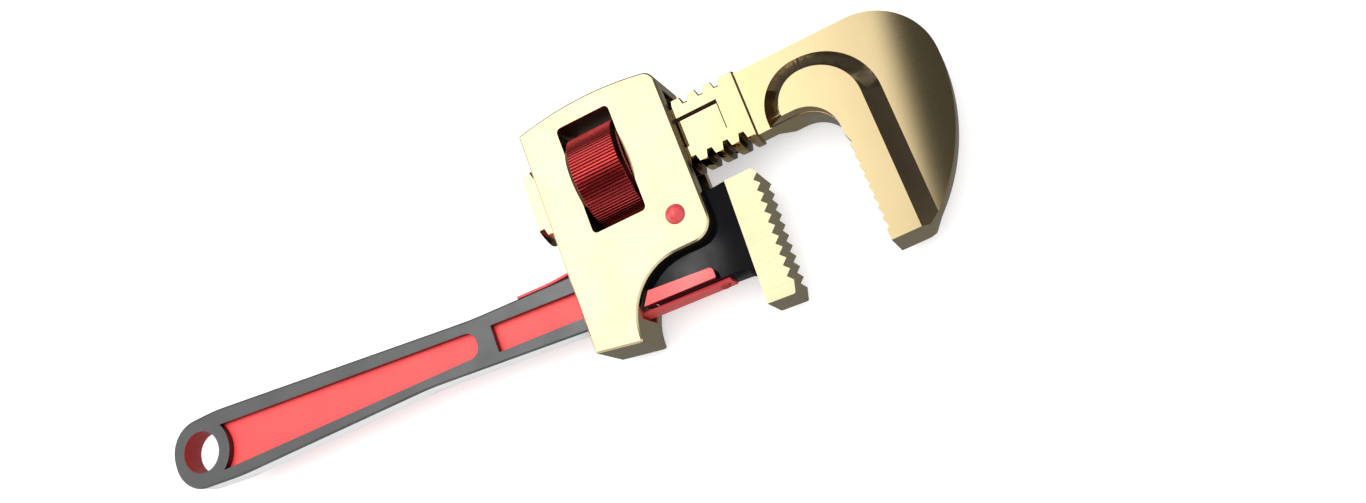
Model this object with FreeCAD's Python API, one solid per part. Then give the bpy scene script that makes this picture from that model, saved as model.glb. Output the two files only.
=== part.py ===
"""Pipe wrench of the 350 mm class, drawn with its jaws 34 mm apart.

The design frame has its origin on the pivot pin's axis at the middle of the thickness. +X runs
along the threaded shank towards the jaws, +Y towards the back of the hook jaw, and +Z is the
direction of the thickness. At the end every piece is moved so that the origin is at the bottom
centre of the whole wrench as it lies on its side.
"""
import FreeCAD, Part
import math
import os

from FreeCAD import Vector

os.makedirs("parts", exist_ok=True)

# ---------------------------------------------------------------- driving dimensions, mm

# Handle
BAR_HALF = 5.25            # half thickness of the forged bar
NECK_HALF = 7.5            # half thickness of the neck, which fills the housing's slot
RECESS_DEPTH = 3.0
HUB_WALL = 5.1             # metal left round the hang hole
HANG_X, HANG_Y = -223.1, -1.5
HANG_R = 8.5
EDGE_BREAK = 0.7           # chamfer on forged edges
STOP_RIB_HALF = 11.0       # the rib that the housing's leg comes to rest against

# Housing
CHEEK_OUT = 13.2
SLOT_HALF = 7.7
REAR_X, FRONT_X = -46.5, 11.2
WINDOW_X = (-31.5, -9.2)
WINDOW_Y = (6.5, 50.7)
CEILING_Y = 48.2

# Screw thread on the shank and in the nut
SCREW_Y = 29.3             # height of the shank's axis above the pivot
PITCH = 6.5
THREAD_X = 23.4            # a groove crosses the top of the shank here
THREAD_LEAD = 0.077         # slope of the thread, at its mean radius and over the shank's width
THREAD_R = 15.0
ROOT_R = 12.6
GROOVE_MOUTH = 3.5         # groove width at the thread's crest
GROOVE_FLOOR = 2.0         # groove width at its root
THREAD_GAP = 0.2           # running clearance of the nut, radial and on each flank
SHANK_HALF = 7.5           # half width across the shank's flats
SHANK_X = (-53.1, 37.5)
POCKET_X = (-44.0, 28.7)
POCKET_Y = (23.2, 35.3)
POCKET_DEPTH = 2.1
POCKET_DRAFT = 0.8         # how much narrower the pocket is at its floor, on each side

# Adjusting nut
NUT_R = 19.0
NUT_X = (-31.2, -9.5)
NUT_CHAMFER = 1.6
KNURLS = 96
KNURL_DEPTH = 0.4
KNURL_CREST = 0.5          # share of each knurl that is flat crest; the rest is a V groove

# Jaws
HEAD_HALF = 11.0           # half thickness of the hook jaw's raised face
BACK_HALF = 4.75           # half thickness of the hook jaw's outer web
HEEL_HALF = 10.0
HEEL_TOP = (20.6, 4.4)     # the heel jaw's rear face, top corner and bottom corner
HEEL_FOOT = (18.5, -43.6)
TONGUE_HALF = 4.0          # half thickness of the tongue that carries the heel jaw
TOOTH_FACE_X = 67.1        # the hook jaw's tooth tips
TOOTH_PITCH = 4.15
HEEL_TEETH = 10
HEEL_TOOTH = 2.1           # tooth heights
HOOK_TEETH = 9
HOOK_TOOTH = 1.1

# Pins and springs
PIN_R = 3.2
PIN_GAP = 0.05             # radial running clearance
DOME_R = 3.8
DOME_HIGH = 2.2
LEAF_W = 10.0
RIVET_R = 1.6
RIVET_DEPTH = 6.0
RIVET_HEAD_R = 2.6
RIVET_HEAD_SINK = 1.3      # the head's sphere centre lies this far below the spring's face
HEEL_PIN_R = 2.0
HEEL_PIN_LENGTH = 22.0


# ---------------------------------------------------------------- small tools

def at(x, y, z=0.0):
    return Vector(x, y, z)


def outline(points):
    """A closed face through the points. A third number on a point rounds that corner."""
    count = len(points)
    ends = []
    for i, point in enumerate(points):
        here = at(point[0], point[1])
        radius = point[2] if len(point) > 2 else 0.0
        if radius <= 0.0:
            ends.append((here, None, here))
            continue
        before = at(*points[i - 1][:2]) - here
        after = at(*points[(i + 1) % count][:2]) - here
        before.normalize()
        after.normalize()
        half = before.getAngle(after) / 2.0
        reach = radius / math.tan(half)
        middle = before + after
        middle.normalize()
        centre = here + middle * (radius / math.sin(half))
        ends.append((here + before * reach, centre - middle * radius, here + after * reach))
    edges = []
    for i, (start, mid, end) in enumerate(ends):
        if mid is not None:
            edges.append(Part.Arc(start, mid, end).toShape())
        following = ends[(i + 1) % count][0]
        if end.distanceToPoint(following) > 1e-6:
            edges.append(Part.LineSegment(end, following).toShape())
    return Part.Face(Part.Wire(edges))


def slab(points, low, high):
    """The outline as a plate from z = low to z = high."""
    plate = outline(points).extrude(at(0, 0, high - low))
    plate.translate(at(0, 0, low))
    return plate


def block(x, y, z):
    """A box from three (low, high) pairs."""
    return Part.makeBox(x[1] - x[0], y[1] - y[0], z[1] - z[0], at(x[0], y[0], z[0]))


def rod(radius, length, start, along=at(0, 0, 1)):
    return Part.makeCylinder(radius, length, start, along)


def flat_edges(shape, *heights):
    """Edges that lie wholly in one of the planes z = height."""
    found = []
    for edge in shape.Edges:
        box = edge.BoundBox
        for height in heights:
            if abs(box.ZMin - height) < 1e-4 and abs(box.ZMax - height) < 1e-4:
                found.append(edge)
    return found


def both_sides(shape):
    """The shape and its mirror image on the far side of the middle plane."""
    return [shape, shape.mirror(at(0, 0, 0), at(0, 0, 1))]


def one_solid(shape):
    """The largest solid of a boolean's result."""
    return max(shape.Solids, key=lambda solid: solid.Volume)


def thread_ridge(inner, outer, mouth, floor, x_low, x_high):
    """A right-hand helical ridge about the shank's axis, floor wide inside and mouth wide outside."""
    helix = Part.makeHelix(PITCH, x_high - x_low, inner)
    profile = Part.makePolygon([
        at(inner, 0, -floor / 2),
        at(outer, 0, -mouth / 2),
        at(outer, 0, mouth / 2),
        at(inner, 0, floor / 2),
        at(inner, 0, -floor / 2),
    ])
    sweep = Part.BRepOffsetAPI.MakePipeShell(helix)
    sweep.setFrenetMode(True)
    sweep.add(profile)
    sweep.build()
    sweep.makeSolid()
    ridge = sweep.shape()
    # The helix climbs +Z from the +X side. Turned this way it climbs +X from the +Y side.
    ridge.rotate(at(0, 0, 0), at(1, 1, 1), 120)
    ridge.translate(at(x_low, SCREW_Y, 0))
    return ridge


# ---------------------------------------------------------------- handle and what is fixed to it

def heel_rear_x(y):
    """X of the heel jaw's rear face at height y."""
    lean = (HEEL_TOP[0] - HEEL_FOOT[0]) / (HEEL_TOP[1] - HEEL_FOOT[1])
    return HEEL_TOP[0] + lean * (y - HEEL_TOP[1])


BAR_OUTLINE = [
    (-236.9, 12.1, 13.2), (-213.0, 12.5, 80), (-93.0, 0.1, 160), (-16.0, -2.6), (-16.0, -26.2),
    (-24.0, -26.0), (-117.0, -18.0, 150), (-208.0, -17.6, 80), (-236.9, -15.0, 13.2),
]
NECK_OUTLINE = [
    (-21.0, -2.6, 2), (-12.0, 6.6, 8), (10.0, 6.0, 12), (13.0, 4.6, 4),
    (heel_rear_x(5.2), 5.2), (heel_rear_x(-34.2), -34.2), (17.9, -28.4, 6), (6.0, -27.4, 30),
    (-21.0, -26.3, 2),
]
FRONT_RECESS = [(-216.0, 6.3), (-92.9, -4.5, 4.6), (-92.9, -14.6, 4.6), (-216.0, -12.4)]
REAR_RECESS = [(-85.5, -5.5, 0.6), (-28.0, -9.2, 4.5), (-28.0, -19.6, 4.5), (-85.5, -16.7, 0.6)]
STOP_RIB = [(-20.4, -21.1), (5.0, -23.1, 1.6), (5.0, -27.2, 0.4), (-23.7, -26.0)]
TONGUE = [(17.5, -1.0), (26.0, -1.4), (24.5, -30.0), (16.0, -29.6)]

# The two flat springs seen from the side, and where each rivet's head meets its spring
UPPER_LEAF = [
    (-71.6, -0.65), (-57.0, -1.15, 90), (-20.0, 1.2), (-20.0, 2.2, 0.4), (-57.0, -0.15, 90), (-71.6, 0.35),
]
LOWER_LEAF = [
    (-34.0, -26.9, 0.4), (-20.0, -27.7, 90), (8.4, -28.85), (8.4, -27.65), (-20.0, -26.5, 90), (-34.0, -25.7),
]
# Each rivet's place: two points along the spring's outer face, and the rivet's x on it
UPPER_RIVET = ((-71.6, 0.35), (-57.0, -0.15), -65.0)
LOWER_RIVET = ((8.4, -28.85), (-20.0, -27.7), 4.8)


def rivet_seat(place):
    """The point where a rivet's head sits, and the direction that the head points in."""
    start, end, x = place
    along = at(end[0] - start[0], end[1] - start[1])
    along.normalize()
    y = start[1] + (x - start[0]) * along.y / along.x
    return at(x, y), at(-along.y, along.x)


def rivet_stem(place):
    seat, out = rivet_seat(place)
    return rod(RIVET_R, RIVET_DEPTH, seat, out * -1)


def rivet(place):
    """A round-headed rivet, driven into a blind hole."""
    seat, out = rivet_seat(place)
    head = Part.makeSphere(RIVET_HEAD_R, seat - out * RIVET_HEAD_SINK)
    head = head.common(rod(RIVET_HEAD_R, RIVET_HEAD_R, seat, out))
    return one_solid(rivet_stem(place).fuse(head))


def make_handle():
    bar = slab(BAR_OUTLINE, -BAR_HALF, BAR_HALF)
    bar = bar.makeChamfer(EDGE_BREAK, flat_edges(bar, -BAR_HALF, BAR_HALF))
    neck = slab(NECK_OUTLINE, -NECK_HALF, NECK_HALF)
    rib = slab(STOP_RIB, -STOP_RIB_HALF, STOP_RIB_HALF)
    tongue = slab(TONGUE, -TONGUE_HALF, TONGUE_HALF)
    handle = bar.fuse([neck, rib, tongue])
    hub = rod(HANG_R + HUB_WALL, 2 * BAR_HALF, at(HANG_X, HANG_Y, 0))
    for points in (FRONT_RECESS, REAR_RECESS):
        pocket = slab(points, BAR_HALF - RECESS_DEPTH, BAR_HALF + 1).cut(hub)
        handle = handle.cut(both_sides(pocket))
    hang_hole = rod(HANG_R, 4 * BAR_HALF, at(HANG_X, HANG_Y, -2 * BAR_HALF))
    pin_hole = rod(PIN_R, 4 * NECK_HALF, at(0, 0, -2 * NECK_HALF))
    stems = [rivet_stem(UPPER_RIVET), rivet_stem(LOWER_RIVET)]
    handle = handle.cut([hang_hole, pin_hole, make_heel_jaw_pin()] + stems)
    return one_solid(handle)


def make_upper_leaf_spring():
    leaf = slab(UPPER_LEAF, -LEAF_W / 2, LEAF_W / 2)
    return one_solid(leaf.cut(rivet_stem(UPPER_RIVET)))


def make_lower_leaf_spring():
    leaf = slab(LOWER_LEAF, -LEAF_W / 2, LEAF_W / 2)
    return one_solid(leaf.cut(rivet_stem(LOWER_RIVET)))


def make_leaf_spring_rivets():
    return Part.makeCompound([rivet(UPPER_RIVET), rivet(LOWER_RIVET)])


def make_pivot_pin():
    """A pin with a domed head on the near side, ground flush with the housing on the far side."""
    stem = rod(PIN_R, 2 * CHEEK_OUT + 2 * PIN_GAP, at(0, 0, -CHEEK_OUT))
    sphere_r = (DOME_R ** 2 + DOME_HIGH ** 2) / (2 * DOME_HIGH)
    face = CHEEK_OUT + PIN_GAP
    dome = Part.makeSphere(sphere_r, at(0, 0, face + DOME_HIGH - sphere_r))
    dome = dome.common(rod(DOME_R, DOME_HIGH, at(0, 0, face)))
    return one_solid(stem.fuse(dome))


def make_heel_jaw_pin():
    """A pin driven down through the heel jaw's top into the handle's tongue."""
    return rod(HEEL_PIN_R, HEEL_PIN_LENGTH, at(22.6, HEEL_TOP[1], 0), at(0, -1, 0))


def make_heel_jaw():
    """A block with straight teeth in front and a mortise for the handle's tongue behind."""
    root_x, root_y, lean = 30.6, -0.1, 0.055
    points = [HEEL_TOP, (31.2, HEEL_TOP[1], 0.8), (root_x + HEEL_TOOTH + 0.1, root_y + TOOTH_PITCH / 2)]
    for i in range(HEEL_TEETH):
        y = root_y - i * TOOTH_PITCH
        points.append((root_x + lean * (y - root_y), y))
        y -= TOOTH_PITCH / 2
        points.append((root_x + HEEL_TOOTH + lean * (y - root_y), y))
    points.extend([(29.2, -44.3, 0.8), HEEL_FOOT])
    jaw = slab(points, -HEEL_HALF, HEEL_HALF)
    tongue = slab(TONGUE, -TONGUE_HALF, TONGUE_HALF)
    return one_solid(jaw.cut([tongue, make_heel_jaw_pin()]))


# ---------------------------------------------------------------- housing and its spring

HOUSING_OUTLINE = [
    (REAR_X, 55.3, 1.0), (-18.0, 60.6, 130), (FRONT_X, 55.0, 5), (FRONT_X, -12.7, 8),
    (-27.4, -12.7, 23.6), (-28.0, -38.2, 1.0), (REAR_X, -35.0, 0.8),
]
SLOT = [(-48.0, CEILING_Y), (13.0, CEILING_Y), (13.0, -32.4), (-48.0, -27.1)]
BRIDGE = [
    (REAR_X, 3.6, 1), (-18.0, 3.6, 0.8), (-18.0, WINDOW_Y[0]), (WINDOW_X[0], WINDOW_Y[0]),
    (WINDOW_X[0], 13.6), (REAR_X, 13.6, 0.8),
]
SHANK_LEAF = [
    (-8.0, CEILING_Y), (-8.0, CEILING_Y - 0.8), (0.0, CEILING_Y - 0.8, 10), (6.0, 44.9, 6), (10.4, 45.9),
    (10.2, 46.7), (6.0, 45.7, 5.2), (0.2, CEILING_Y, 10.8),
]
SHANK_RIVET = ((0.0, CEILING_Y - 0.8), (-8.0, CEILING_Y - 0.8), -4.5)


def make_shank_spring_rivet():
    return rivet(SHANK_RIVET)


def make_shank_leaf_spring():
    leaf = slab(SHANK_LEAF, -LEAF_W / 2, LEAF_W / 2)
    return one_solid(leaf.cut(rivet_stem(SHANK_RIVET)))


def make_housing():
    body = slab(HOUSING_OUTLINE, -CHEEK_OUT, CHEEK_OUT)
    body = body.makeChamfer(EDGE_BREAK, flat_edges(body, -CHEEK_OUT, CHEEK_OUT))
    slot = slab(SLOT, -SLOT_HALF, SLOT_HALF)
    (left, right), (low, high) = WINDOW_X, WINDOW_Y
    window_points = [(left, low, 2), (right, low, 2), (right, high, 2), (left, high, 2)]
    window = slab(window_points, -CHEEK_OUT - 1, CHEEK_OUT + 1)
    bridge = slab(BRIDGE, -SLOT_HALF - 1, SLOT_HALF + 1)
    body = body.cut([slot, window]).fuse(bridge)
    pin_hole = rod(PIN_R + PIN_GAP, 4 * CHEEK_OUT, at(0, 0, -2 * CHEEK_OUT))
    return one_solid(body.cut([pin_hole, rivet_stem(SHANK_RIVET)]))


# ---------------------------------------------------------------- adjusting nut

def make_adjusting_nut():
    low, high = NUT_X
    knurl = []
    for i in range(KNURLS):
        for share, radius in ((0, NUT_R), (KNURL_CREST, NUT_R), ((1 + KNURL_CREST) / 2, NUT_R - KNURL_DEPTH)):
            angle = 2 * math.pi * (i + share) / KNURLS
            knurl.append(at(low, SCREW_Y + radius * math.cos(angle), radius * math.sin(angle)))
    knurl.append(knurl[0])
    drum = Part.Face(Part.makePolygon(knurl)).extrude(at(high - low, 0, 0))
    rim = NUT_R - NUT_CHAMFER
    barrel = Part.makePolygon([
        at(low, SCREW_Y), at(low, SCREW_Y + rim), at(low + NUT_CHAMFER, SCREW_Y + NUT_R),
        at(high - NUT_CHAMFER, SCREW_Y + NUT_R), at(high, SCREW_Y + rim), at(high, SCREW_Y),
        at(low, SCREW_Y),
    ])
    barrel = Part.Face(barrel).revolve(at(0, SCREW_Y, 0), at(1, 0, 0), 360)
    drum = drum.common(barrel)
    bore_r = ROOT_R + THREAD_GAP
    bore = rod(bore_r, high - low + 2, at(low - 1, SCREW_Y, 0), at(1, 0, 0))
    flank = (GROOVE_MOUTH - GROOVE_FLOOR) / (THREAD_R - ROOT_R)
    inner = bore_r - 0.6
    outer = THREAD_R + THREAD_GAP
    wide = PITCH - GROOVE_MOUTH + 2 * THREAD_GAP + flank * (THREAD_R - inner)
    narrow = PITCH - GROOVE_MOUTH + 2 * THREAD_GAP - flank * (outer - THREAD_R)
    first = THREAD_X + PITCH / 2 - 10 * PITCH
    groove = thread_ridge(inner, outer, narrow, wide, first, first + 5 * PITCH)
    return one_solid(drum.cut(bore).cut(groove))


# ---------------------------------------------------------------- hook jaw

HEAD_LEFT = 49.0
UNDERSIDE = (66.9, 16.7, 13.4)
HEAD_TIP_Y = -41.4
HEAD_FACE = [
    (HEAD_LEFT, 16.7), (HEAD_LEFT, 29.4, 12), (78.3, 29.4, 17), (78.3, HEAD_TIP_Y),
    (TOOTH_FACE_X, HEAD_TIP_Y), UNDERSIDE,
]
BEVEL_FOOT = [
    (41.7, 16.7), (41.7, 37.7, 18), (86.2, 37.7, 25), (86.2, HEAD_TIP_Y),
    (TOOTH_FACE_X, HEAD_TIP_Y), UNDERSIDE,
]
BACK_WEB = [
    (34.0, 42.3), (108.2, 42.3, 26), (108.2, -16.0, 74), (81.0, HEAD_TIP_Y, 1.5),
    (TOOTH_FACE_X, HEAD_TIP_Y), UNDERSIDE, (34.0, 16.3),
]


def thread_notch(side):
    """Half a ring groove over the shank's axis, tilted by the thread's lead. side is +1 on top."""
    flank = (GROOVE_MOUTH - GROOVE_FLOOR) / (THREAD_R - ROOT_R)
    mouth = GROOVE_MOUTH + flank
    section = Part.makePolygon([
        at(-GROOVE_FLOOR / 2, 0, ROOT_R), at(-mouth / 2, 0, THREAD_R + 1),
        at(mouth / 2, 0, THREAD_R + 1), at(GROOVE_FLOOR / 2, 0, ROOT_R),
        at(-GROOVE_FLOOR / 2, 0, ROOT_R),
    ])
    notch = Part.Face(section).revolve(at(0, 0, 0), at(-side, 0, 0), 180)
    lead = math.degrees(math.atan(THREAD_LEAD))
    notch.rotate(at(0, 0, 0), at(0, side, 0), lead)
    return notch


def shank_pocket():
    """The cutter for a shallow pocket with drafted sides, its mouth level with the shank's flat."""
    (left, right), (bottom, top) = POCKET_X, POCKET_Y
    mouth = outline([(left, bottom), (right, bottom), (right, top), (left, top)]).OuterWire
    draft = POCKET_DRAFT
    floor = outline([
        (left + draft, bottom + draft), (right - draft, bottom + draft),
        (right - draft, top - draft), (left + draft, top - draft),
    ]).OuterWire
    floor.translate(at(0, 0, SHANK_HALF - POCKET_DEPTH))
    mouth.translate(at(0, 0, SHANK_HALF))
    return Part.makeLoft([floor, mouth], True, True)


def make_shank():
    """A round bar with two flats, a shallow pocket in each, and thread on its two curved sides."""
    low, high = SHANK_X
    shank = rod(THREAD_R, high - low, at(low, SCREW_Y, 0), at(1, 0, 0))
    shank = shank.common(block((low - 1, high + 1), (0, 60), (-SHANK_HALF, SHANK_HALF)))
    notches = both_sides(shank_pocket())
    for side, x in ((1, THREAD_X + PITCH), (-1, THREAD_X + 1.5 * PITCH)):
        while x > low - GROOVE_MOUTH:
            notch = thread_notch(side)
            notch.translate(at(x, SCREW_Y, 0))
            notches.append(notch)
            x -= PITCH
    return one_solid(shank.cut(notches))


def make_hook_jaw():
    web = slab(BACK_WEB, -BACK_HALF, BACK_HALF)
    foot = outline(BEVEL_FOOT).OuterWire
    face = outline(HEAD_FACE).OuterWire
    foot.translate(at(0, 0, BACK_HALF - 1))
    face.translate(at(0, 0, HEAD_HALF))
    boss = Part.makeLoft([foot, face], True, True)
    boss = boss.common(slab(BACK_WEB, 0, HEAD_HALF))
    jaw = make_shank().fuse([web] + both_sides(boss))

    notches = []
    for i in range(HOOK_TEETH):
        top = -i * TOOTH_PITCH
        notch = [
            (TOOTH_FACE_X - 1, top), (TOOTH_FACE_X, top),
            (TOOTH_FACE_X + HOOK_TOOTH, top - 0.78 * TOOTH_PITCH),
            (TOOTH_FACE_X, top - TOOTH_PITCH), (TOOTH_FACE_X - 1, top - TOOTH_PITCH),
        ]
        notches.append(slab(notch, -HEAD_HALF - 1, HEAD_HALF + 1))
    return one_solid(jaw.cut(notches))


# ---------------------------------------------------------------- placing and writing

PIECES = {
    "handle": make_handle,
    "upper_leaf_spring": make_upper_leaf_spring,
    "lower_leaf_spring": make_lower_leaf_spring,
    "leaf_spring_rivets": make_leaf_spring_rivets,
    "pivot_pin": make_pivot_pin,
    "heel_jaw": make_heel_jaw,
    "heel_jaw_pin": make_heel_jaw_pin,
    "housing": make_housing,
    "shank_leaf_spring": make_shank_leaf_spring,
    "shank_spring_rivet": make_shank_spring_rivet,
    "adjusting_nut": make_adjusting_nut,
    "hook_jaw": make_hook_jaw,
}


def main():
    shapes = {name: make() for name, make in PIECES.items()}
    whole = Part.makeCompound(list(shapes.values())).optimalBoundingBox(False)
    centre_x = (whole.XMin + whole.XMax) / 2
    centre_y = (whole.YMin + whole.YMax) / 2
    home = at(-centre_x, -centre_y, -whole.ZMin)
    print("pivot axis at", [round(v, 4) for v in home])
    print("size", round(whole.XLength, 3), round(whole.YLength, 3), round(whole.ZLength, 3))
    for name, shape in shapes.items():
        shape.translate(home)
        volume = round(shape.Volume / 1000, 3)
        print(f"{name:22s} valid={shape.isValid()} solids={len(shape.Solids)} cm3={volume}")
        shape.exportStep(os.path.join("parts", name + ".step"))


main()
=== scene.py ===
"""Looks for the pipe wrench: materials, rounded edges, studio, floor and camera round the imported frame."""

import math

import bpy
from mathutils import Matrix, Vector


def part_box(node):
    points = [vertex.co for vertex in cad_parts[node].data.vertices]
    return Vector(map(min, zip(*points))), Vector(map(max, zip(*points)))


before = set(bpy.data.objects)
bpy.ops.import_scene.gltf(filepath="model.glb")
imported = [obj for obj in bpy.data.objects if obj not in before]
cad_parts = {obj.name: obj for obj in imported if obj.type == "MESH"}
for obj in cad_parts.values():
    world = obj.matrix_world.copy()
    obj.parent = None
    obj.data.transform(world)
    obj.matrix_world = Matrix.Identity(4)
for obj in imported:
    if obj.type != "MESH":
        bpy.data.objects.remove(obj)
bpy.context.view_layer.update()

MM = 0.001
PIN_LOW, PIN_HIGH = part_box("pivot_pin")
NUT_LOW, NUT_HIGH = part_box("adjusting_nut")
HANDLE_LOW, HANDLE_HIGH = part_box("handle")

# The pivot pin's axis at the middle of the thickness. Places below are given from it, in millimetres
MIDDLE_Z = (HANDLE_LOW.z + HANDLE_HIGH.z) / 2
HOME = Vector(((PIN_LOW.x + PIN_HIGH.x) / 2, (PIN_LOW.y + PIN_HIGH.y) / 2, MIDDLE_Z))


# ---------------------------------------------------------------- material tools

def new_material(name):
    material = bpy.data.materials.new(name)
    material.use_nodes = True
    nodes = material.node_tree.nodes
    return material, nodes, material.node_tree.links, nodes["Principled BSDF"]


def add(nodes, kind, **settings):
    node = nodes.new(kind)
    for name, value in settings.items():
        setattr(node, name, value)
    return node


def noise(nodes, links, place, scale, detail=4.0):
    texture = add(nodes, "ShaderNodeTexNoise")
    texture.inputs["Scale"].default_value = scale
    texture.inputs["Detail"].default_value = detail
    links.new(place, texture.inputs["Vector"])
    return texture.outputs["Fac"]


def spread(nodes, links, value, low, high, to_low, to_high):
    """The value's range low to high, mapped and clamped to the range to_low to to_high."""
    node = add(nodes, "ShaderNodeMapRange")
    for socket, number in zip(("From Min", "From Max", "To Min", "To Max"), (low, high, to_low, to_high)):
        node.inputs[socket].default_value = number
    links.new(value, node.inputs["Value"])
    return node.outputs["Result"]


def blend_colours(nodes, links, factor, first, second):
    """first where the factor is 0 and second where it is 1. Each is a colour or a socket."""
    node = add(nodes, "ShaderNodeMix", data_type="RGBA")
    links.new(factor, node.inputs["Factor"])
    for socket, colour in ((node.inputs[6], first), (node.inputs[7], second)):
        if isinstance(colour, bpy.types.NodeSocket):
            links.new(colour, socket)
        else:
            socket.default_value = (*colour, 1.0)
    return node.outputs[2]


def combine(nodes, links, operation, first, second):
    """One Math node. Either side is a socket or a number."""
    node = add(nodes, "ShaderNodeMath", operation=operation)
    for socket, value in zip(node.inputs, (first, second)):
        if isinstance(value, bpy.types.NodeSocket):
            links.new(value, socket)
        else:
            socket.default_value = value
    return node.outputs[0]


def object_place(nodes, links, stretch=(1.0, 1.0, 1.0)):
    """Object coordinates, stretched for a directional grain."""
    coordinates = add(nodes, "ShaderNodeTexCoord")
    mapping = add(nodes, "ShaderNodeMapping")
    mapping.inputs["Scale"].default_value = stretch
    links.new(coordinates.outputs["Object"], mapping.inputs["Vector"])
    return mapping.outputs["Vector"]


def bump(nodes, links, height, strength, distance_mm, shader):
    node = add(nodes, "ShaderNodeBump")
    node.inputs["Strength"].default_value = strength
    node.inputs["Distance"].default_value = distance_mm * MM
    links.new(height, node.inputs["Height"])
    links.new(node.outputs["Normal"], shader.inputs["Normal"])


def satin_metal(name, colour, dark, rough, grain=0.12, relief=0.05, uneven=0.02):
    """Satin-finished metal: fine grain lines and soft patches of tone."""
    material, nodes, links, shader = new_material(name)
    shader.inputs["Metallic"].default_value = 1.0
    place = object_place(nodes, links)
    lines = noise(nodes, links, object_place(nodes, links, (60.0, 1400.0, 1400.0)), 1.0, 3.0)
    patches = noise(nodes, links, place, 55.0, 5.0)
    pits = noise(nodes, links, place, 1600.0, 2.0)
    tone = spread(nodes, links, patches, 0.35, 0.75, 0.0, 0.25)
    tone = combine(nodes, links, "ADD", tone, spread(nodes, links, lines, 0.3, 0.7, 0.0, grain))
    links.new(blend_colours(nodes, links, tone, colour, dark), shader.inputs["Base Color"])
    satin = spread(nodes, links, lines, 0.3, 0.7, rough - uneven / 2, rough + uneven)
    satin = combine(nodes, links, "ADD", satin, spread(nodes, links, patches, 0.3, 0.7, -uneven, uneven))
    links.new(satin, shader.inputs["Roughness"])
    if relief:
        height = combine(nodes, links, "ADD", lines, combine(nodes, links, "MULTIPLY", pits, 0.5))
        bump(nodes, links, height, relief, 0.01, shader)
    return material


def enamel(name, colour, deep, rough=0.32, metallic=0.0, coat=0.3, orange_peel=0.15):
    """Baked paint: faint orange peel, slow drift of tone, a clear gloss coat."""
    material, nodes, links, shader = new_material(name)
    shader.inputs["Metallic"].default_value = metallic
    shader.inputs["Coat Weight"].default_value = coat
    shader.inputs["Coat Roughness"].default_value = 0.12
    place = object_place(nodes, links)
    patches = noise(nodes, links, place, 70.0, 4.0)
    skin = noise(nodes, links, place, 520.0, 2.0)
    tone = spread(nodes, links, patches, 0.3, 0.75, 0.0, 0.5)
    links.new(blend_colours(nodes, links, tone, colour, deep), shader.inputs["Base Color"])
    links.new(spread(nodes, links, patches, 0.3, 0.7, rough - 0.04, rough + 0.06), shader.inputs["Roughness"])
    bump(nodes, links, skin, orange_peel, 0.05, shader)
    return material


# ---------------------------------------------------------------- the materials

GOLD = satin_metal("pale_gold_steel", (0.88, 0.76, 0.49), (0.78, 0.64, 0.37), 0.24)
JAW_GOLD = satin_metal("hook_jaw_gold", (0.86, 0.69, 0.39), (0.76, 0.58, 0.30), 0.05, 0.05, 0.0, 0.004)
# The bevel band is the hook jaw's own steel; its darker gold is painted shade.
BAND_PAINTED_SHADE = satin_metal("hook_jaw_bevel_painted_shade", (0.54, 0.42, 0.26), (0.36, 0.26, 0.15), 0.14, relief=0.03)
# Painted shade: dark brown on the thread's groove faces and on the step where the head starts.
THREAD_PAINTED_SHADE = satin_metal("thread_painted_shade", (0.27, 0.18, 0.11), (0.09, 0.06, 0.035), 0.20, relief=0.04)
# Painted shade on the housing's window walls, a darker copy of the gold.
WINDOW_PAINTED_SHADE = satin_metal("window_wall_painted_shade", (0.22, 0.16, 0.11), (0.11, 0.075, 0.05), 0.34)
SPRING = satin_metal("blued_spring_steel", (0.16, 0.17, 0.20), (0.07, 0.08, 0.10), 0.32)
# Painted highlight: the handle's side walls in near-white, as if brightly lit.
PAINTED_HIGHLIGHT_SIDE = enamel("handle_side_painted_highlight", (0.87, 0.87, 0.88), (0.81, 0.81, 0.83), 0.34, 0.0, 0.1)
HANDLE_GREY = enamel("satin_grey_handle", (0.135, 0.140, 0.140), (0.105, 0.110, 0.110), 0.36, 0.75, 0.0)
HANDLE_RED = enamel("coral_red_recess", (0.90, 0.070, 0.070), (0.80, 0.053, 0.058), 0.40, 0.0, 0.08)
# Painted shade: the hang hole's wall, a darker copy of the handle's red.
HOLE_SHADE_RED = enamel("hole_wall_painted_shade", (0.42, 0.030, 0.035), (0.28, 0.018, 0.022), 0.30, 0.2, 0.4)
# Painted shade: the red recesses' walls in near-black red.
RECESS_SHADE_RED = enamel("recess_wall_painted_shade", (0.045, 0.003, 0.004), (0.028, 0.002, 0.003), 0.40, 0.0, 0.1)
# The shank pocket's walls are gold steel; their near-black is painted shade.
POCKET_PAINTED_SHADE = enamel("pocket_wall_painted_shade", (0.020, 0.013, 0.010), (0.012, 0.008, 0.006), 0.5, 0.0, 0.0)
NECK_BLACK = enamel("gloss_black_neck", (0.003, 0.003, 0.004), (0.002, 0.002, 0.003), 0.11, 0.0, 0.0, 0.0)
NECK_BLACK.node_tree.nodes["Principled BSDF"].inputs["Specular IOR Level"].default_value = 0.03
SPRING_RED = enamel("red_spring_enamel", (0.72, 0.065, 0.07), (0.55, 0.04, 0.05), 0.34, 0.1, 0.3)
PIN_RED = enamel("red_pin_enamel", (0.66, 0.075, 0.08), (0.50, 0.05, 0.055), 0.28, 0.1, 0.5, 0.05)


# Depths below the knurl's crest, mm: painted shade, nearly black, at the bottom and plain red at the top.
# Below the rim, on the end faces, the nut is plain red again
KNURL_BOTTOM, KNURL_TOP = 0.35, 0.05
RIM_INNER, RIM_OUTER = 2.2, 1.6
# the painted shade in the bottoms of the knurl's grooves
GROOVE_PAINTED_SHADE = (0.040, 0.005, 0.006)


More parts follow.
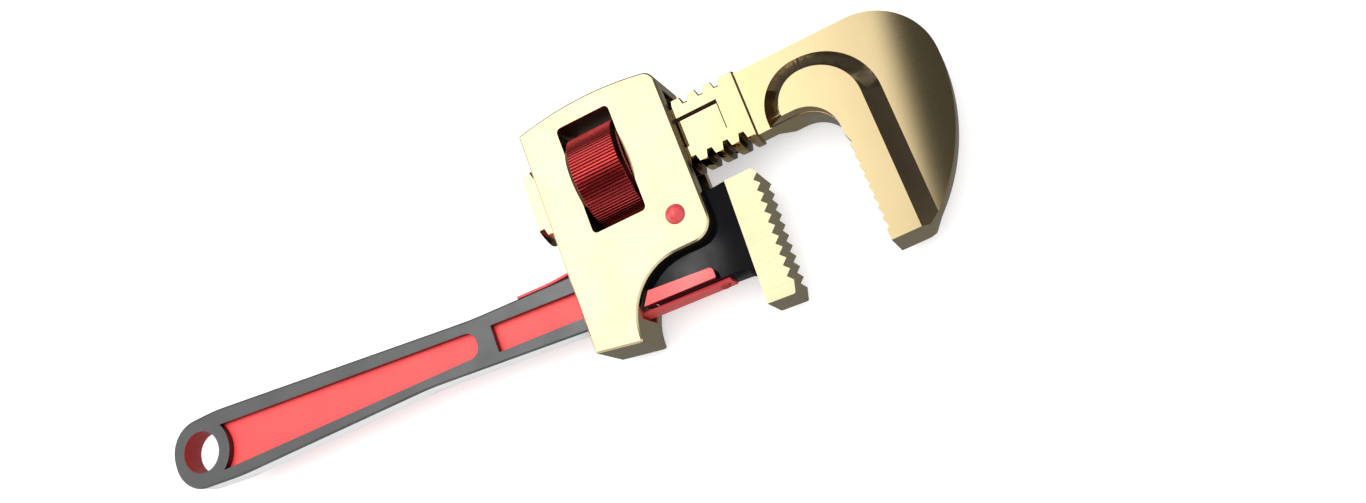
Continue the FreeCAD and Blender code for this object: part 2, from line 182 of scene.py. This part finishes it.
def nut_metal():
    """Red anodised metal, with painted shade, nearly black, in the bottoms of the knurl's grooves."""
    material, nodes, links, shader = new_material("red_anodised_nut")
    shader.inputs["Metallic"].default_value = 1.0
    place = object_place(nodes, links)
    patches = noise(nodes, links, place, 120.0, 4.0)
    tone = spread(nodes, links, patches, 0.3, 0.75, 0.0, 0.5)
    colour = blend_colours(nodes, links, tone, (0.78, 0.085, 0.085), (0.60, 0.055, 0.055))
    split = add(nodes, "ShaderNodeSeparateXYZ")
    links.new(place, split.inputs["Vector"])
    across = combine(nodes, links, "SUBTRACT", split.outputs["Y"], (NUT_LOW.y + NUT_HIGH.y) / 2)
    above = combine(nodes, links, "SUBTRACT", split.outputs["Z"], (NUT_LOW.z + NUT_HIGH.z) / 2)
    squares = [combine(nodes, links, "MULTIPLY", side, side) for side in (across, above)]
    radius = combine(nodes, links, "SQRT", combine(nodes, links, "ADD", *squares), 0.0)
    crest = (NUT_HIGH.z - NUT_LOW.z) / 2
    depth = spread(nodes, links, radius, crest - KNURL_BOTTOM * MM, crest - KNURL_TOP * MM, 1.0, 0.0)
    inside = spread(nodes, links, radius, crest - RIM_INNER * MM, crest - RIM_OUTER * MM, 0.0, 1.0)
    # painted shade: darkest at the groove bottoms, none on the rim and the end faces
    groove_shade = combine(nodes, links, "MULTIPLY", depth, inside)
    links.new(blend_colours(nodes, links, groove_shade, colour, GROOVE_PAINTED_SHADE), shader.inputs["Base Color"])
    links.new(spread(nodes, links, patches, 0.3, 0.7, 0.24, 0.32), shader.inputs["Roughness"])
    return material


NUT_RED = nut_metal()


# ---------------------------------------------------------------- dressing the CAD nodes

def round_edges(piece, width_mm):
    """Rounds a welded node's sharp edges without touching its own mesh: merge flat faces, then bevel."""
    flat = piece.modifiers.new("merge_flat", "DECIMATE")
    flat.decimate_type = "DISSOLVE"
    flat.angle_limit = math.radians(0.6)
    flat.delimit = {"MATERIAL"}
    bevel = piece.modifiers.new("bevel", "BEVEL")
    bevel.width = width_mm * MM
    bevel.segments = 2
    bevel.limit_method = "ANGLE"
    bevel.angle_limit = math.radians(28)
    bevel.use_clamp_overlap = True
    bevel.harden_normals = True
    bevel.miter_outer = "MITER_ARC"


def dress(name, material, edge_mm=0.0):
    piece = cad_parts[name]
    piece.data.materials.clear()
    piece.data.materials.append(material)
    weld = piece.modifiers.new("weld", "WELD")
    weld.merge_threshold = 0.001 * MM
    if edge_mm:
        round_edges(piece, edge_mm)
    return piece


def faces_from_home(piece):
    """Each face with its centre from the pivot, in millimetres, and its normal."""
    for face in piece.data.polygons:
        yield face, (face.center - HOME) / MM, face.normal


NECK_STEP = 5.4            # beyond this half thickness a face belongs to the neck or its rib
RIB_FACE = 10.9
RECESS_FLOOR = 2.25
HOLE = Vector((-223.1, -1.5))                            # the hang hole's axis
HOLE_REACH = 9.0
BAR_END = -20.5            # the bar meets the neck here


def handle_slot(place, normal):
    """A face's finish: 0 grey, 1 red, 2 the hole's wall in painted shade, 3 black, 4 painted highlight, 5 a
    recess's wall in painted shade.
    """
    high = abs(place.z)
    flat = abs(normal.z) > 0.9
    if flat and high > RIB_FACE:
        return 1
    if high > NECK_STEP or place.x > BAR_END:
        return 3
    if flat:
        return 1 if high < RECESS_FLOOR + 0.5 else 0
    if (place.xy - HOLE).length < HOLE_REACH:
        return 2
    if abs(normal.z) > 0.3:
        return 0
    # side walls: the recesses' walls in painted shade, the outer sides in painted highlight
    return 5 if high > RECESS_FLOOR else 4


def dress_handle():
    handle = dress("handle", HANDLE_GREY)
    for material in (HANDLE_RED, HOLE_SHADE_RED, NECK_BLACK, PAINTED_HIGHLIGHT_SIDE, RECESS_SHADE_RED):
        handle.data.materials.append(material)
    for face, place, normal in faces_from_home(handle):
        face.material_index = handle_slot(place, normal)
    round_edges(handle, 0.3)


SHANK_END = 37.4           # the head starts here, with a low step
STEP_REACH = 0.5
SCREW_Y = 29.3             # height of the shank's axis above the pivot
THREAD_CREST = 14.9
POCKET_HALF = 6.3          # the pocket lies within this height of the shank's axis
POCKET_REAR, POCKET_FRONT = -44.5, 28.8
FLAT_HALF = 7.45           # half thickness across the shank's flats
WEB_FACE = 4.8             # half thickness of the outer web


def jaw_slot(place, normal):
    """A face's finish: 0 gold, 1 bevel in painted shade, 2 painted shade on the thread and the step, 3 the
    pocket's wall in painted shade.
    """
    high = abs(place.z)
    lean = abs(normal.z)
    # the step where the head starts gets painted shade
    if abs(place.x - SHANK_END) < STEP_REACH and lean < 0.2:
        return 2
    if place.x > SHANK_END:
        return 1 if 0.2 < lean < 0.97 and high > WEB_FACE else 0
    above_axis = place.y - SCREW_Y
    in_pocket = abs(above_axis) < POCKET_HALF and POCKET_REAR < place.x < POCKET_FRONT and high < FLAT_HALF
    # the pocket's walls get painted shade
    if in_pocket and lean < 0.97:
        return 3
    from_axis = math.hypot(above_axis, place.z)
    # the thread's groove faces get painted shade
    return 2 if lean < 0.9 and from_axis < THREAD_CREST and abs(above_axis) > POCKET_HALF else 0


def dress_hook_jaw():
    jaw = dress("hook_jaw", JAW_GOLD)
    for material in (BAND_PAINTED_SHADE, THREAD_PAINTED_SHADE, POCKET_PAINTED_SHADE):
        jaw.data.materials.append(material)
    for face, place, normal in faces_from_home(jaw):
        face.material_index = jaw_slot(place, normal)
    round_edges(jaw, 0.2)


WINDOW_X = (-31.6, -9.1)   # the housing's window, from the pivot
WINDOW_Y = (6.4, 50.8)


def dress_housing():
    """Gold outside, and painted shade, a darker gold, on the walls of the window that shows the nut."""
    housing = dress("housing", GOLD)
    housing.data.materials.append(WINDOW_PAINTED_SHADE)
    for face, place, normal in faces_from_home(housing):
        in_window = WINDOW_X[0] < place.x < WINDOW_X[1] and WINDOW_Y[0] < place.y < WINDOW_Y[1]
        face.material_index = 1 if in_window and abs(normal.z) < 0.5 else 0
    round_edges(housing, 0.35)


dress_handle()
dress("upper_leaf_spring", SPRING_RED, 0.15)
dress("lower_leaf_spring", SPRING_RED, 0.15)
# The rivets take the same dark red, the hang hole wall's painted shade.
dress("leaf_spring_rivets", HOLE_SHADE_RED)
dress("pivot_pin", PIN_RED)
dress("heel_jaw", GOLD, 0.2)
dress("heel_jaw_pin", SPRING, 0.15)
dress_housing()
dress("shank_leaf_spring", SPRING, 0.1)
dress("shank_spring_rivet", SPRING)
dress("adjusting_nut", NUT_RED)
dress_hook_jaw()


# ---------------------------------------------------------------- floor, light and camera

FLOOR_HALF = 2.5           # metres
FLOOR_DROP = 0.0004        # metres, which keeps the floor clear of the wrench's underside

CEILING_PLACE = (-0.1, 0.1, 1.6)
CEILING_SIZE, CEILING_POWER = (2.4, 2.4), 44.0

# The broad light: brightness against x - LIGHT_SLANT y of the direction, before LIGHT_PEAK
LIGHT_SLANT = 0.2
LIGHT_PEAK = 2.05
LIGHT_STEPS = [
    (-0.65, 0.32), (-0.47, 0.65), (-0.38, 1.0), (-0.27, 0.87), (-0.20, 0.66), (-0.112, 0.48), (-0.089, 0.0),
    (-0.06, 0.0), (0.03, 0.42),
]
# Directions that stay dark: (direction, fully dark within, fully lit beyond)
DARK_SPOTS = [
    ((0.875, 0.281, 0.40), 0.28, 0.42), ((0.25, 0.29, 0.92), 0.14, 0.24), ((0.45, 0.88, 0.15), 0.28, 0.42),
]
# Where the broad light fades: across its front edge, towards the far back but less so high up, and down to
# the horizon
FRONT_EDGE_Y = (-0.12, 0.16)
BACK_EDGE_Y, BACK_LEVEL = (0.45, 0.75), 0.30
HIGH_Z, HIGH_LEVEL = (0.22, 0.40), 0.75
HORIZON_Z = (0.0, 0.25)

LOW_LEFT_X, LOW_LEFT_LEVEL = (-0.78, -0.95), 1.2
ROOM_Z, ROOM_BELOW, ROOM_ABOVE = (-0.45, 0.1), 0.17, 0.06

FILL_LEVEL = 0.85
FILL_FORWARD = (0.1, 0.4)
FILL_BOTTOM_Z, FILL_TOP_Z = (0.02, 0.15), (0.62, 0.78)
FILL_GAP_X, FILL_GAP_REACH = -0.24, (0.08, 0.2)

GLINT_PLACE = Vector((-4.0, -19.5, 7.5))                 # on the neck, mm from the pivot
GLINT_DIRECTION = Vector((-0.232, 0.268, 0.934))         # metres, from there to the lamp
GLINT_SIZE, GLINT_POWER = (0.06, 0.03), 0.55

CAMERA_BACK = Vector((0.2353, -0.2813, 0.9303))
CAMERA_UP = Vector((0.4149, 0.8947, 0.1656))
CAMERA_PLACE = Vector((107.31, -145.10, 446.53))         # mm from the pivot
CAMERA_LENS = 34.26


def make_floor():
    half = FLOOR_HALF
    mesh = bpy.data.meshes.new("floor")
    corners = [(-half, -half, 0), (half, -half, 0), (half, half, 0), (-half, half, 0)]
    mesh.from_pydata(corners, [], [(0, 1, 2, 3)])
    floor = bpy.data.objects.new("floor", mesh)
    floor.location.z = -FLOOR_DROP
    bpy.context.scene.collection.objects.link(floor)
    material, nodes, links, shader = new_material("pale_floor")
    shader.inputs["Base Color"].default_value = (0.70, 0.70, 0.70, 1.0)
    shader.inputs["Roughness"].default_value = 0.9
    shader.inputs["Specular IOR Level"].default_value = 0.0
    shader.inputs["Emission Color"].default_value = (1.0, 1.0, 1.0, 1.0)
    shader.inputs["Emission Strength"].default_value = 0.45
    mesh.materials.append(material)
    floor.visible_glossy = False


def make_softbox(name, place, target, size, power, glossy=False):
    light = bpy.data.lights.new(name, "AREA")
    light.shape = "RECTANGLE"
    light.size, light.size_y = size
    light.energy = power
    lamp = bpy.data.objects.new(name, light)
    lamp.location = place
    lamp.rotation_mode = "QUATERNION"
    lamp.rotation_quaternion = (Vector(target) - Vector(place)).to_track_quat("-Z", "Y")
    lamp.visible_glossy = glossy
    bpy.context.scene.collection.objects.link(lamp)
    return lamp


def make_world():
    """A dim room. A broad light high behind, brightest on the left and with dark spots, a weak light low on
    the left, and a fill along the front."""
    world = bpy.data.worlds.new("studio")
    world.use_nodes = True
    nodes = world.node_tree.nodes
    links = world.node_tree.links
    split = add(nodes, "ShaderNodeSeparateXYZ")
    direction = add(nodes, "ShaderNodeTexCoord").outputs["Generated"]
    links.new(direction, split.inputs["Vector"])
    x, y, z = split.outputs

    # The broad light's near edge runs slantwise, along a line where x - LIGHT_SLANT y is constant
    across = combine(nodes, links, "SUBTRACT", x, combine(nodes, links, "MULTIPLY", y, LIGHT_SLANT))
    ramp = add(nodes, "ShaderNodeValToRGB")
    ramp.color_ramp.interpolation = "EASE"
    while len(ramp.color_ramp.elements) < len(LIGHT_STEPS):
        ramp.color_ramp.elements.new(0.5)
    for element, (place, level) in zip(ramp.color_ramp.elements, LIGHT_STEPS):
        element.position = (place + 1.0) / 2
        element.color = (level, level, level, 1.0)
    links.new(spread(nodes, links, across, -1.0, 1.0, 0.0, 1.0), ramp.inputs["Fac"])
    broad = combine(nodes, links, "MULTIPLY", ramp.outputs["Color"], LIGHT_PEAK)
    broad = combine(nodes, links, "MULTIPLY", broad, spread(nodes, links, y, *FRONT_EDGE_Y, 0.0, 1.0))
    behind = spread(nodes, links, y, *BACK_EDGE_Y, 1.0, BACK_LEVEL)
    behind = combine(nodes, links, "MAXIMUM", behind, spread(nodes, links, z, *HIGH_Z, 0.0, HIGH_LEVEL))
    broad = combine(nodes, links, "MULTIPLY", broad, behind)
    broad = combine(nodes, links, "MULTIPLY", broad, spread(nodes, links, z, *HORIZON_Z, 0.0, 1.0))
    low_left = spread(nodes, links, x, *LOW_LEFT_X, 0.0, LOW_LEFT_LEVEL)
    room = spread(nodes, links, z, *ROOM_Z, ROOM_BELOW, ROOM_ABOVE)
    for place, inner, outer in DARK_SPOTS:
        away = add(nodes, "ShaderNodeVectorMath", operation="DISTANCE")
        links.new(direction, away.inputs[0])
        away.inputs[1].default_value = place
        gate = spread(nodes, links, away.outputs["Value"], inner, outer, 0.0, 1.0)
        broad = combine(nodes, links, "MULTIPLY", broad, gate)

    # A weaker light along the front and round to the right, with a gap beside the middle
    forward = combine(nodes, links, "SUBTRACT", combine(nodes, links, "MULTIPLY", x, 0.35), y)
    fill = spread(nodes, links, forward, *FILL_FORWARD, 0.0, FILL_LEVEL)
    fill = combine(nodes, links, "MULTIPLY", fill, spread(nodes, links, z, *FILL_BOTTOM_Z, 0.0, 1.0))
    fill = combine(nodes, links, "MULTIPLY", fill, spread(nodes, links, z, *FILL_TOP_Z, 1.0, 0.0))
    beside = combine(nodes, links, "ABSOLUTE", combine(nodes, links, "ADD", x, -FILL_GAP_X), 0.0)
    fill = combine(nodes, links, "MULTIPLY", fill, spread(nodes, links, beside, *FILL_GAP_REACH, 0.0, 1.0))
    level = combine(nodes, links, "ADD", combine(nodes, links, "ADD", broad, low_left), room)
    level = combine(nodes, links, "ADD", level, fill)
    background = nodes["Background"]
    background.inputs["Color"].default_value = (1.0, 0.99, 0.97, 1.0)
    links.new(level, background.inputs["Strength"])
    bpy.context.scene.world = world


def make_camera():
    """The camera looks down on the wrench as it lies, turned a little towards its open side."""
    back = CAMERA_BACK.normalized()
    right = CAMERA_UP.cross(back).normalized()
    up = back.cross(right)
    camera = bpy.data.objects.new("camera", bpy.data.cameras.new("camera"))
    camera.data.lens = CAMERA_LENS
    camera.data.sensor_width = 36.0
    camera.data.clip_start = 0.01
    turn = Matrix((right, up, back)).transposed()
    camera.matrix_world = Matrix.Translation(HOME + CAMERA_PLACE * MM) @ turn.to_4x4()
    bpy.context.scene.collection.objects.link(camera)
    bpy.context.scene.camera = camera


make_floor()
make_softbox("ceiling", CEILING_PLACE, (0.0, 0.0, 0.0), CEILING_SIZE, CEILING_POWER)
neck = HOME + GLINT_PLACE * MM
glint = make_softbox("neck_glint", neck + GLINT_DIRECTION, neck, GLINT_SIZE, GLINT_POWER, glossy=True)
glint.data.diffuse_factor = 0.0
receivers = bpy.data.collections.new("neck_glint_receivers")
receivers.objects.link(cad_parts["handle"])
glint.light_linking.receiver_collection = receivers
make_world()
make_camera()
bpy.context.scene.view_settings.view_transform = "Standard"
